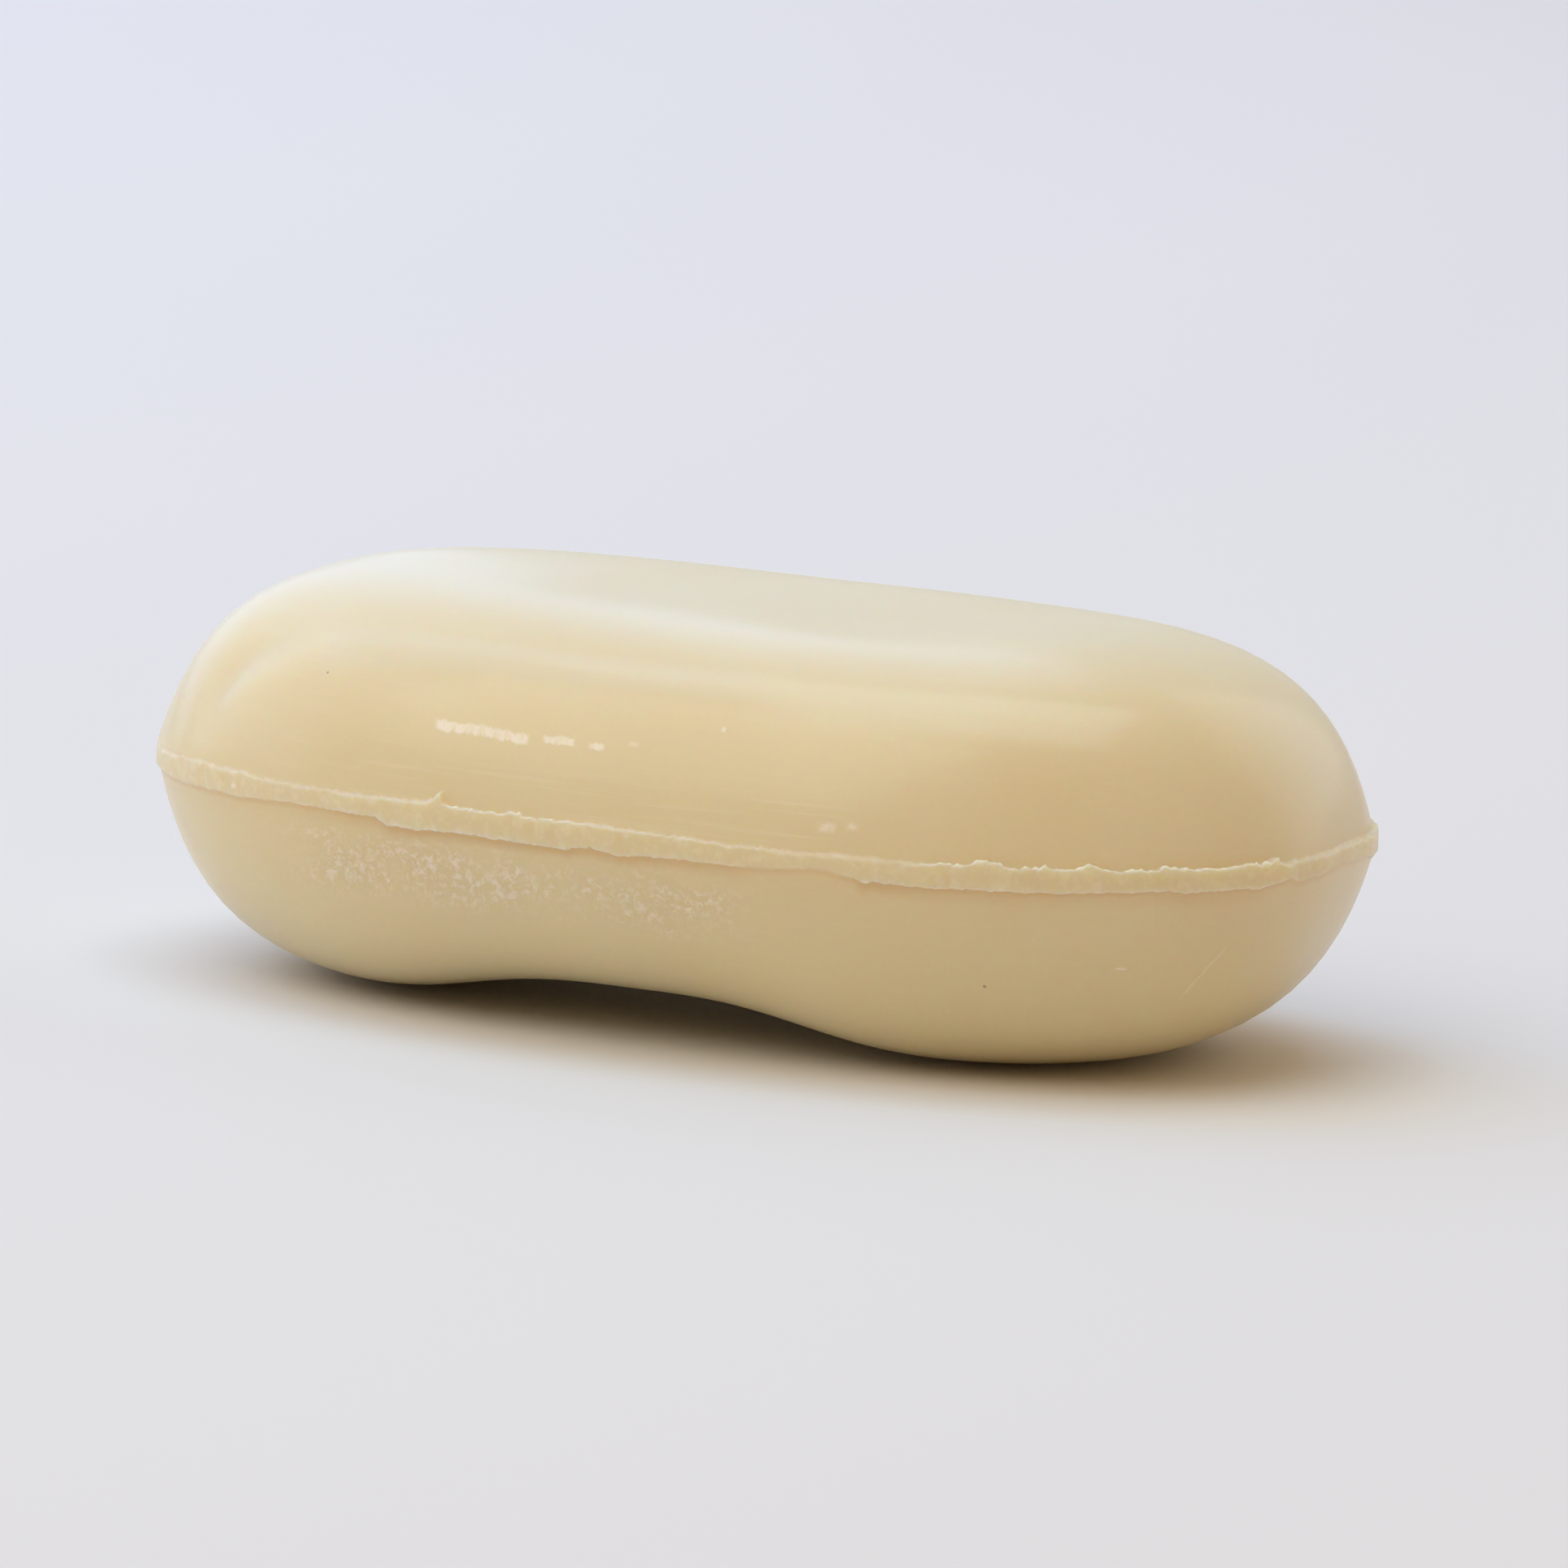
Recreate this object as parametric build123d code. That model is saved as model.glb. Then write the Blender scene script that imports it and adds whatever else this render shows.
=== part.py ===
from build123d import *

# Bar of soap: one stamped piece, pillow shaped, with the raised band that the two halves of the
# die leave where they meet.
#
# Frame: millimetres, +Z up, +X along the length.  The origin lies under the middle of the bar,
# on the surface that the bar rests on.
#
# The plan is a superellipse, |x/a|^n + |y/b|^n = 1.  A point of the plan has the gauge radius
# (|x/a|^n + |y/b|^n)^(1/n), which is 0 in the middle and 1 on the rim, and each half of the bar
# is its height along the middle times a dome profile of that radius.

import os
from math import copysign, cos, exp, pi, sin

# Driving dimensions.
LENGTH = 92.0                # body, end to end, without the band
WIDTH = 56.3                 # body, side to side, without the band
PLAN_EXPONENT = 2.48         # 2 is an ellipse, larger is squarer

CROWN_HEIGHT = 14.3          # upper half above the parting plane, at mid length
CROWN_RISE = 2.3             # how much higher the upper half's saddle reaches towards the ends
CROWN_FULLNESS = 5.5         # how far out the top stays flat
CROWN_SHOULDER = 3.9         # how square the shoulder is
CROWN_DRAFT_CUT = 0.964      # share of the profile used: the rest would be the upright wall

BELLY_DEPTH = 16.3           # lower half below the parting plane, beside the arch
BELLY_DROP = 1.4             # how much deeper the lower half reaches towards the ends
BELLY_FULLNESS = 5.2         # the same three for the underside
BELLY_SHOULDER = 3.7
BELLY_DRAFT_CUT = 0.972

ARCH_DEPTH = 3.1             # hollow across the underside, between the two lobes it rests on
ARCH_HALF_LENGTH = 16.1      # from its middle to where it has lost most of its depth
ARCH_OFFSET = -3.0           # its middle lies a little towards the -X end
ARCH_EXPONENT = 3.1          # 2 is a bell curve, larger has a flatter roof

BAND_HEIGHT = 1.8            # raised band around the parting plane
BAND_PROUD = 0.25            # how far it stands out from the body's rim
BAND_ROUNDING = 0.2          # on its two outer edges

# How finely the smooth surfaces are drawn.
PATCH_STEPS_X = 44
PATCH_STEPS_Y = 36
PATCH_GRADING = 1.2          # radians of a sine: larger crowds the lines towards the rim
PATCH_TOLERANCE = 0.004      # millimetres between a drawn surface and its points
OUTLINE_POINTS = 72


def signed_power(value, exponent):
    """Return the value's size raised to the exponent, with the value's sign."""
    return copysign(abs(value) ** exponent, value)


def plan_outline(half_length, half_width):
    """Return the closed superellipse curve with these half axes, in the XY plane."""
    points = []
    for index in range(OUTLINE_POINTS):
        angle = 2 * pi * index / OUTLINE_POINTS
        x = half_length * signed_power(cos(angle), 2 / PLAN_EXPONENT)
        y = half_width * signed_power(sin(angle), 2 / PLAN_EXPONENT)
        points.append((x, y))
    return Spline(*points, periodic=True)


def crown_height(x):
    """Return the upper half's height at this place along the length, before the rim falls off."""
    return CROWN_HEIGHT + CROWN_RISE * (2 * x / LENGTH) ** 2


def belly_depth(x):
    """Return the lower half's depth at this place along the length, less the arch."""
    arch = exp(-((abs(x - ARCH_OFFSET) / ARCH_HALF_LENGTH) ** ARCH_EXPONENT))
    return BELLY_DEPTH + BELLY_DROP * (2 * x / LENGTH) ** 2 - ARCH_DEPTH * arch


def dome_profile(radius, fullness, shoulder, draft_cut):
    """Return 1 in the middle and 0 on the rim, where it ends with a finite slope, the draft."""
    def full_profile(share):
        return (1 - share ** fullness) ** (1 / shoulder)

    at_rim = full_profile(draft_cut)
    return (full_profile(radius * draft_cut) - at_rim) / (1 - at_rim)


def graded(index, steps):
    """Return a value from -1 to 1 for this line of the patch, with the lines closer at the ends."""
    return sin(PATCH_GRADING * (2 * index / steps - 1)) / sin(PATCH_GRADING)


def half_body(height_at, fullness, shoulder, draft_cut):
    """Return one half of the body as a solid that stands on the parting plane.

    A square grid (s, t) is bent to the superellipse by x = a s (1 - |t|^n / 2)^(1/n) and the
    same for y, which gives the gauge radius 1 - (1 - |s|^n)(1 - |t|^n), to the power 1/n.
    """
    rows = []
    for i in range(PATCH_STEPS_X + 1):
        s = graded(i, PATCH_STEPS_X)
        row = []
        for j in range(PATCH_STEPS_Y + 1):
            t = graded(j, PATCH_STEPS_Y)
            s_power = abs(s) ** PLAN_EXPONENT
            t_power = abs(t) ** PLAN_EXPONENT
            x = LENGTH / 2 * s * (1 - t_power / 2) ** (1 / PLAN_EXPONENT)
            y = WIDTH / 2 * t * (1 - s_power / 2) ** (1 / PLAN_EXPONENT)
            radius = (1 - (1 - s_power) * (1 - t_power)) ** (1 / PLAN_EXPONENT)
            z = height_at(x) * dome_profile(radius, fullness, shoulder, draft_cut)
            row.append(Vector(x, y, z))
        rows.append(row)
    dome = Face.make_surface_from_array_of_points(rows, tol=PATCH_TOLERANCE, min_deg=3, max_deg=5)
    base = Face(Wire(dome.edges()))
    return Solid(Shell([dome, base]))


def parting_band():
    """Return the raised band as a slab through the bar, with its two outer edges rounded."""
    outline = plan_outline(LENGTH / 2 + BAND_PROUD, WIDTH / 2 + BAND_PROUD)
    slab = extrude(make_face(outline), amount=BAND_HEIGHT / 2, both=True)
    rims = slab.edges().filter_by(GeomType.BSPLINE)
    return fillet(rims, BAND_ROUNDING)


def soap_bar():
    """Return the whole bar, standing on its two lobes, with its middle over the origin."""
    upper = half_body(crown_height, CROWN_FULLNESS, CROWN_SHOULDER, CROWN_DRAFT_CUT)
    lower = half_body(belly_depth, BELLY_FULLNESS, BELLY_SHOULDER, BELLY_DRAFT_CUT)
    bar = parting_band() + upper
    bar = bar + mirror(lower, about=Plane.XY)
    return Pos(0, 0, -bar.bounding_box().min.Z) * bar.solid()


os.makedirs("parts", exist_ok=True)
export_step(soap_bar(), "parts/soap_bar.step")
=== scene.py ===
import logging
import math
from dataclasses import dataclass, field
from enum import Enum

import bpy
import numpy as np
from mathutils import Matrix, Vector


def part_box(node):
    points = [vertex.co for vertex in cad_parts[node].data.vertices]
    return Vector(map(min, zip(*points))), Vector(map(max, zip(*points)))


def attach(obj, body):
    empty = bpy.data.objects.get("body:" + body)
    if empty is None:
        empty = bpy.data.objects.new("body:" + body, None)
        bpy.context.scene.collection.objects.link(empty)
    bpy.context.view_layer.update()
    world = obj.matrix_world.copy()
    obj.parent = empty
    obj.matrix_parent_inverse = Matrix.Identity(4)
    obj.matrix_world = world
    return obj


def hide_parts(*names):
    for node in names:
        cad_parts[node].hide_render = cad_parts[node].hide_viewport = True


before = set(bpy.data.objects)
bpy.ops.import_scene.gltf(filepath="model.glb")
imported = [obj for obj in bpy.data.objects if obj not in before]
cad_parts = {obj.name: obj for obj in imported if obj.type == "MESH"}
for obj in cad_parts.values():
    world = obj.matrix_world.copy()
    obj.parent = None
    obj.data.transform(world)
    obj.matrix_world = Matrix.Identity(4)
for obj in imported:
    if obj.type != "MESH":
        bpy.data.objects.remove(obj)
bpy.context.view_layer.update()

# A bar of soap, one stamped piece, with the ragged flash of its die round the middle.
# Sizes are in millimetres until a mesh is written, which is in metres.  The flash and the marks
# on the bar are placed along the rim: 0 is the middle of the front side, and plus is towards +X.

LOG = logging.getLogger("soap")
MM = 0.001
BAND_PROUD = 0.25       # how far the CAD band stands out past the plan
NEAR_GIRTH = 245.0      # about the length of the rim, where the exact one isn't at hand


# ---------------------------------------------------------------------------------------------
# Shapes
# ---------------------------------------------------------------------------------------------


class Half(Enum):
    """The half of the bar above or below the parting plane."""

    CROWN = 1
    BELLY = -1


def smooth_step(value: np.ndarray, low: float, high: float) -> np.ndarray:
    """Rise from 0 at low to 1 at high along 3t^2 - 2t^3.

    Args:
        value: where to work it out.
        low: where the rise starts.
        high: where the rise ends.

    Returns:
        The height of the rise, from 0 to 1.
    """
    share = np.clip((value - low) / (high - low), 0.0, 1.0)
    return share * share * (3.0 - 2.0 * share)


def window(value: np.ndarray, low: float, high: float, soft: float) -> np.ndarray:
    """Return 1 between low and high and 0 outside, with both edges soft by that much."""
    opened = smooth_step(value, low - soft, low + soft)
    return opened * (1.0 - smooth_step(value, high - soft, high + soft))


def hump(value: np.ndarray, middle: float, half_width: float) -> np.ndarray:
    """Return the bell curve exp(-d^2), where d is the distance from the middle in half widths."""
    return np.exp(-(((value - middle) / half_width) ** 2))


def waves(points: np.ndarray, longest: float, shortest: float, seed: int, count: int = 28) -> np.ndarray:
    """Uneven relief as a sum of sine waves that cross in random directions.

    Each wave is sin(k . p + phase), with wavelengths spread evenly in logarithm from the longest
    to the shortest, and the sum is scaled to a spread of about 1.

    Args:
        points: places, with x, y and z in the last axis.
        longest: longest wavelength.
        shortest: shortest wavelength.
        seed: picks the directions and phases.
        count: number of waves.

    Returns:
        The relief at each place.
    """
    random = np.random.default_rng(seed)
    direction = random.normal(size=(count, 3))
    direction /= np.linalg.norm(direction, axis=1, keepdims=True)
    length = longest * (shortest / longest) ** random.random(count)
    phase = random.random(count) * 2.0 * math.pi
    total = np.zeros(points.shape[:-1])
    for way, wavelength, start in zip(direction, length, phase):
        total += np.sin(points @ (way * 2.0 * math.pi / wavelength) + start)
    return total * math.sqrt(2.0 / count)


def ripple(along: np.ndarray, girth: float, longest: float, shortest: float, seed: int) -> np.ndarray:
    """Uneven line round the rim that meets itself: whole sine waves of the girth, summed.

    Args:
        along: places along the rim.
        girth: length of the rim.
        longest: longest wavelength.
        shortest: shortest wavelength.
        seed: picks the waves and phases.

    Returns:
        The line's height at each place, with a spread of about 1.
    """
    random = np.random.default_rng(seed)
    counts = np.unique(np.round(girth / (longest * (shortest / longest) ** random.random(40))))
    total = np.zeros(along.shape)
    for turns in counts:
        total += np.sin(2.0 * math.pi * (turns * along / girth + random.random()))
    return total * math.sqrt(2.0 / len(counts))


@dataclass(frozen=True)
class Plan:
    """The oval of the bar seen from above: |x/a|^n + |y/b|^n = 1."""

    half_length: float
    half_width: float
    exponent: float = 2.48
    samples: int = 40001    # points the running length of the rim is summed over
    nudge: float = 0.05     # distance either way along the rim over which its direction is read

    def round_rim(self, count: int, crowding: float) -> tuple[np.ndarray, np.ndarray, np.ndarray, float]:
        """Points round the rim, from the middle of the front side towards +X.

        A point at the angle t is at x = a c|c|^(2/n - 1), y = b s|s|^(2/n - 1), with c and s the
        cosine and sine of t.  Point k of m lies at the share u - crowding sin(2 pi u) / (2 pi) of
        the girth, with u = k/m, so the steps are finest in front.

        Args:
            count: number of points.
            crowding: how much finer than the average step the steps in front are, from 0 to 1.

        Returns:
            The points, the outward directions, how far along the rim each lies, and the girth.
        """
        angle = np.linspace(-0.5 * math.pi, 1.5 * math.pi, self.samples)
        power = 2.0 / self.exponent
        cosine, sine = np.cos(angle), np.sin(angle)
        x = self.half_length * np.sign(cosine) * np.abs(cosine) ** power
        y = self.half_width * np.sign(sine) * np.abs(sine) ** power
        run = np.concatenate([[0.0], np.cumsum(np.hypot(np.diff(x), np.diff(y)))])
        girth = float(run[-1])
        even = np.arange(count) / count
        along = girth * (even - crowding * np.sin(2.0 * math.pi * even) / (2.0 * math.pi))
        rim = np.stack([np.interp(along, run, x), np.interp(along, run, y)], axis=-1)
        ahead, behind = (along + self.nudge) % girth, (along - self.nudge) % girth
        step_x, step_y = (np.interp(ahead, run, line) - np.interp(behind, run, line) for line in (x, y))
        outward = np.stack([step_y, -step_x], axis=-1)
        outward /= np.linalg.norm(outward, axis=1, keepdims=True)
        along = np.where(along > girth / 2, along - girth, along)
        return rim, outward, along, girth


@dataclass(frozen=True)
class Dome:
    """How one half's height falls off from the middle to the rim."""

    fullness: float
    shoulder: float
    draft_cut: float

    def full(self, radius: np.ndarray | float) -> np.ndarray | float:
        """Return (1 - r^p)^(1/q), the profile that ends in an upright wall."""
        return (1.0 - radius ** self.fullness) ** (1.0 / self.shoulder)

    def share(self, radius: np.ndarray) -> np.ndarray:
        """Return the share of the height at this gauge radius: 1 in the middle and 0 on the rim."""
        at_rim = self.full(self.draft_cut)
        return (self.full(radius * self.draft_cut) - at_rim) / (1.0 - at_rim)

    def rim_slope(self) -> float:
        """Return how much of the height is lost for a unit of gauge radius, at the rim."""
        small = 1e-4
        return float(self.share(np.array(1.0 - small)) / small)


@dataclass(frozen=True)
class Body:
    """The bar without its flash: two domes on one plan, a saddle on top and an arch below."""

    plan: Plan
    crown: Dome = Dome(fullness=5.5, shoulder=3.9, draft_cut=0.964)
    belly: Dome = Dome(fullness=5.2, shoulder=3.7, draft_cut=0.972)
    crown_height: float = 14.3
    crown_rise: float = 2.3
    belly_depth: float = 16.3
    belly_drop: float = 1.4
    arch_depth: float = 3.1
    arch_half_length: float = 16.1
    arch_offset: float = -3.0
    arch_exponent: float = 3.1

    def dome(self, half: Half) -> Dome:
        """Return that half's dome."""
        return self.crown if half is Half.CROWN else self.belly

    def reach(self, half: Half, x: np.ndarray) -> np.ndarray:
        """How far that half reaches from the parting plane along the middle of the bar.

        The crown is its height plus a rise with the square of the distance from mid length.  The
        belly is the same, less the arch, a flat-topped bell exp(-|d|^n).
        """
        square = (x / self.plan.half_length) ** 2
        if half is Half.CROWN:
            return self.crown_height + self.crown_rise * square
        bell = np.exp(-((np.abs(x - self.arch_offset) / self.arch_half_length) ** self.arch_exponent))
        return self.belly_depth + self.belly_drop * square - self.arch_depth * bell

    def seam_height(self) -> float:
        """Return the height of the parting plane above what the bar rests on."""
        x = np.linspace(-1.0, 1.0, 4001) * self.plan.half_length
        share = self.belly.share(np.abs(x) / self.plan.half_length)
        return float(np.max(self.reach(Half.BELLY, x) * share))

    def surface(self, half: Half, radius: np.ndarray, rim: np.ndarray) -> np.ndarray:
        """Points of one half, each rim point drawn in to its gauge radius.

        Args:
            half: which half.
            radius: gauge radius of each point, rows by columns.
            rim: rim point of each column.

        Returns:
            The points, rows by columns by x, y and z, measured from the parting plane.
        """
        flat = radius[..., None] * rim
        rise = self.reach(half, flat[..., 0]) * self.dome(half).share(radius) * half.value
        return np.concatenate([flat, rise[..., None]], axis=-1)

    def radius_at(self, half: Half, height: np.ndarray, rim: np.ndarray) -> np.ndarray:
        """Return the gauge radius at which that half has this height, close to the rim."""
        slope = self.dome(half).rim_slope()
        radius = 1.0 - height / (self.reach(half, rim[:, 0]) * slope)
        for _ in range(4):
            miss = self.surface(half, radius, rim)[..., 2] * half.value - height
            radius = radius + miss / (self.reach(half, radius * rim[:, 0]) * slope)
        return radius


@dataclass(frozen=True)
class Tooth:
    """A burr, flake or chip on an edge of the flash: where it is, how far it stands, how wide."""

    place: float
    height: float
    half_width: float


@dataclass(frozen=True)
class Flash:
    """The raised band left by the die: its two ragged edges, its face and its torn end.

    The lines are pairs of a place along the rim and a value, joined smoothly.  The heights of the
    upper edge are measured up from the parting plane, and those of the lower edge down.  Proud is
    how far the face stands out, and frill and undercut go from 0 for a worn edge to 1 for a torn one.
    """

    upper: tuple = ((-61, 0.2), (-52, 0.2), (-45, 0.3), (-38, 0.62), (-29, 0.58), (-20, 0.78),
                    (-15.4, 1.02), (-14.2, 0.88), (-4, 0.95), (5, 0.8), (9.5, 0.64), (16, 0.76),
                    (25, 0.72), (36, 0.95), (44, 1.1), (48.8, 1.3), (50.4, 1.15), (53.5, 1.22), (58, 1.3),
                    (61.5, 1.4), (66, 1.3), (69, 1.35), (73, 1.2), (80, 1.0), (92, 0.9), (122, 0.9),
                    (150, 0.85), (170, 0.5))
    lower: tuple = ((-61, 1.25), (-52, 1.35), (-45, 1.38), (-34, 1.15), (-27, 0.7), (-20.4, 0.64),
                    (-19.2, 1.08), (-12, 0.86), (-5, 1.02), (-2.6, 0.66), (-0.7, 1.06), (2, 0.8),
                    (10, 0.82), (14.5, 0.38), (18, 0.88), (22, 0.98), (31, 0.82), (40, 0.42), (48.5, 0.42),
                    (51.4, -0.05), (52.6, 0.3), (56, 0.1), (58.8, -0.2), (63, -0.05), (68, 0.3),
                    (72, 0.4), (78, 0.6), (90, 0.8), (122, 0.9), (150, 0.9), (170, 1.1))
    proud: tuple = ((-61, 0.07), (-50, 0.03), (-30, 0.04), (-20, 0.07), (-15, 0.11), (0, 0.08),
                    (9, 0.06), (15, 0.05), (20, 0.1), (35, 0.11), (46, 0.12), (50.6, 0.22),
                    (51.7, 0.2), (52.4, 0.02), (58, 0.05), (62, 0.08), (68, 0.17), (74, 0.13),
                    (122, 0.14), (150, 0.12), (170, 0.12))
    frill: tuple = ((-61, 0.0), (-45, 0.15), (-30, 0.35), (-16, 0.35), (-14, 0.9), (-4, 0.8),
                    (-2, 0.3), (1, 0.65), (9, 0.45), (12, 0.2), (21, 0.05), (23, 0.9), (49, 1.0),
                    (51, 0.4), (60, 0.3), (68, 0.7), (80, 0.4), (122, 0.5), (150, 0.2))
    undercut: tuple = ((-61, 0.1), (-45, 0.3), (-30, 0.5), (-20, 0.9), (-8, 0.9), (0, 0.8), (8, 0.6),
                       (10, 0.2), (17, 0.2), (18, 1.0), (24, 0.7), (38, 0.7), (42, 0.9), (49, 0.7),
                       (52, 0.3), (60, 0.3), (68, 0.8), (80, 0.4), (122, 0.4), (150, 0.2))
    upper_teeth: tuple = (Tooth(-15.1, 0.62, 0.26), Tooth(-15.3, 0.3, 0.7), Tooth(-9.2, 0.16, 0.35),
                          Tooth(26.7, 0.5, 1.1), Tooth(27.6, 0.12, 0.5), Tooth(31.2, 0.2, 0.8),
                          Tooth(34.5, 0.46, 0.62), Tooth(40.2, 0.26, 1.0), Tooth(46.8, 0.18, 0.7),
                          Tooth(49.7, 0.42, 0.35), Tooth(-33.4, 0.16, 0.6), Tooth(-38.2, 0.1, 0.8),
                          Tooth(69.5, 0.14, 1.2), Tooth(-88.0, 0.3, 0.6), Tooth(112.0, 0.35, 0.8))
    lower_teeth: tuple = (Tooth(18.2, 0.16, 0.3), Tooth(18.9, -0.12, 0.35), Tooth(-16.8, 0.1, 0.5),
                          Tooth(-10.6, 0.12, 0.5), Tooth(41.6, 0.14, 0.9), Tooth(-4.6, 0.08, 0.4),
                          Tooth(-97.0, 0.2, 0.7), Tooth(101.0, 0.22, 0.6))
    feather: float = 0.09          # thickness of the thin lip along the upper edge
    feather_height: float = 0.13   # how far the lip stands above the band, where it is strong
    lip_drop: float = 0.06         # how far the lower edge hangs down, where it is undercut
    clearance: float = 0.04        # how far from a torn edge the body starts
    easing: float = 0.24           # how far a worn edge runs out up or down the body
    wander: float = 0.025          # spread of the slow waves in both edges

    @staticmethod
    def line(stations: tuple, along: np.ndarray, girth: float) -> np.ndarray:
        """A smooth closed line through (place, height) stations, each span eased at both ends.

        Args:
            stations: the pairs, in order along the rim.
            along: where to work the line out.
            girth: length of the rim, after which the line meets itself.

        Returns:
            The line's height at each place.
        """
        place, height = np.array(stations, dtype=float).T
        order = np.argsort(np.mod(place, girth))
        place, height = np.mod(place, girth)[order], height[order]
        place = np.concatenate([[place[-1] - girth], place, [place[0] + girth]])
        height = np.concatenate([[height[-1]], height, [height[0]]])
        at = np.mod(along, girth)
        span = np.clip(np.searchsorted(place, at, side="right") - 1, 0, len(place) - 2)
        share = (at - place[span]) / (place[span + 1] - place[span])
        share = 0.5 * share + 0.5 * share * share * (3.0 - 2.0 * share)
        return height[span] + (height[span + 1] - height[span]) * share

    @staticmethod
    def teeth(teeth: tuple, along: np.ndarray) -> np.ndarray:
        """Return the sum of the teeth, each a sharp-topped bell exp(-|d|^1.5)."""
        total = np.zeros(along.shape)
        for tooth in teeth:
            total += tooth.height * np.exp(-(np.abs(along - tooth.place) / tooth.half_width) ** 1.5)
        return total

    def edges(self, along: np.ndarray, girth: float) -> dict[str, np.ndarray]:
        """Work out the band's edges, face and frill at each place along the rim.

        Args:
            along: places along the rim.
            girth: length of the rim.

        Returns:
            The heights of the upper and lower edges, and of the body just clear of them, how far
            the face stands out, how frilled and how undercut its edges are from 0 to 1, and how
            far the feather edge stands up.
        """
        frill = np.clip(self.line(self.frill, along, girth), 0.0, 1.0)
        undercut = np.clip(self.line(self.undercut, along, girth), 0.0, 1.0)
        rag = 0.016 + 0.035 * frill
        upper = self.line(self.upper, along, girth) + self.teeth(self.upper_teeth, along)
        upper = upper + rag * ripple(along, girth, 2.6, 0.35, 11)
        upper = upper + self.wander * ripple(along, girth, 9.0, 2.0, 12)
        feather = np.clip(0.75 + 0.6 * ripple(along, girth, 4.0, 0.6, 13), 0.1, 2.4)
        rag = 0.012 + 0.025 * undercut
        lower = self.line(self.lower, along, girth) + self.teeth(self.lower_teeth, along)
        lower = lower + rag * ripple(along, girth, 2.8, 0.4, 14)
        lower = lower + self.wander * ripple(along, girth, 8.0, 2.0, 15)
        proud = self.line(self.proud, along, girth) + 0.015 * ripple(along, girth, 6.0, 1.2, 16)
        return {
            "upper": upper,
            "lower": lower,
            "proud": proud,
            "frill": frill,
            "undercut": undercut,
            "feather": self.feather_height * frill * feather,
            "wall": upper + self.clearance + self.easing * (1.0 - frill),
            "foot": lower + self.clearance + self.easing * (1.0 - undercut),
        }

    @staticmethod
    def between(first: list, second: list, share: np.ndarray) -> list:
        """Return the corners that go from first to second as share goes from 0 to 1."""
        return [tuple(a + (b - a) * share for a, b in zip(*pair)) for pair in zip(first, second)]

    def profile(self, edges: dict[str, np.ndarray], wall: tuple[np.ndarray, np.ndarray],
                foot: tuple[np.ndarray, np.ndarray], rows: int) -> tuple[np.ndarray, np.ndarray]:
        """The band's section from the wall above it, over its face, to the wall below it.

        The section is a quadratic B-spline over a row of corners, so each corner is rounded.  At
        the upper edge the corners go from a worn ramp to a thin lip as the frill goes from 0 to 1,
        and at the lower edge from a worn hem to a hanging burr as the undercut does.

        Args:
            edges: the band's edges, from edges().
            wall: offset from the rim and height of the body where the upper edge meets it.
            foot: the same below the band.
            rows: number of rows to return.

        Returns:
            The offset from the rim and the height of each row at each place.
        """
        upper, lower = edges["upper"], -edges["lower"]
        proud, feather = edges["proud"], edges["feather"]
        inner = proud - self.feather - 0.05
        step, ledge = proud - wall[0], proud - foot[0]
        ramp = [
            (wall[0] + 0.02 * step, upper + 0.20),
            (wall[0] + 0.14 * step, upper + 0.10),
            (wall[0] + 0.34 * step, upper + 0.01),
            (wall[0] + 0.56 * step, upper - 0.08),
            (wall[0] + 0.76 * step, upper - 0.18),
            (wall[0] + 0.92 * step, upper - 0.32),
        ]
        lip = [
            (wall[0] + 0.05, upper - 0.02),
            (np.maximum(inner - 0.05, wall[0] + 0.08), upper - 0.01),
            (inner, upper + 0.3 * feather),
            (proud - 0.6 * self.feather, upper + feather + 0.03),
            (proud + 0.02, upper + 0.9 * feather),
            (proud + 0.01, upper - 0.1),
        ]
        hem = [
            (proud - 0.08 * ledge, lower + 0.34),
            (proud - 0.24 * ledge, lower + 0.20),
            (proud - 0.44 * ledge, lower + 0.09),
            (proud - 0.68 * ledge, lower - 0.01),
            (proud - 0.92 * ledge, lower - 0.14),
        ]
        burr = [
            (proud + 0.02, lower + 0.12),
            (proud + 0.04, lower - self.lip_drop),
            (proud - 0.06, lower - self.lip_drop),
            (proud - 0.13, lower + 0.03),
            (foot[0] + 0.04, lower + 0.02),
        ]
        corners = [wall, wall]
        corners += self.between(ramp, lip, edges["frill"])
        corners += [(proud - 0.01, upper + (lower - upper) * share) for share in (0.35, 0.5, 0.65)]
        corners += self.between(hem, burr, edges["undercut"])
        corners += [foot, foot]
        offset = np.stack([corner[0] for corner in corners])
        height = np.stack([corner[1] for corner in corners])
        run = np.linspace(0.0, len(corners) - 2.0, rows)
        first = np.minimum(run.astype(int), len(corners) - 3)
        part = (run - first)[:, None]
        weights = (0.5 * (1.0 - part) ** 2, 0.5 + part * (1.0 - part), 0.5 * part ** 2)
        offset = sum(weight * offset[first + number] for number, weight in enumerate(weights))
        height = sum(weight * height[first + number] for number, weight in enumerate(weights))
        offset[0], height[0] = wall
        offset[-1], height[-1] = foot
        return offset, height


@dataclass(frozen=True)
class Crease:
    """A fine upright crease in the skin: its place, heights, lean, depth and half width."""

    place: float
    low: float
    high: float
    lean: float
    depth: float
    half_width: float


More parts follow.
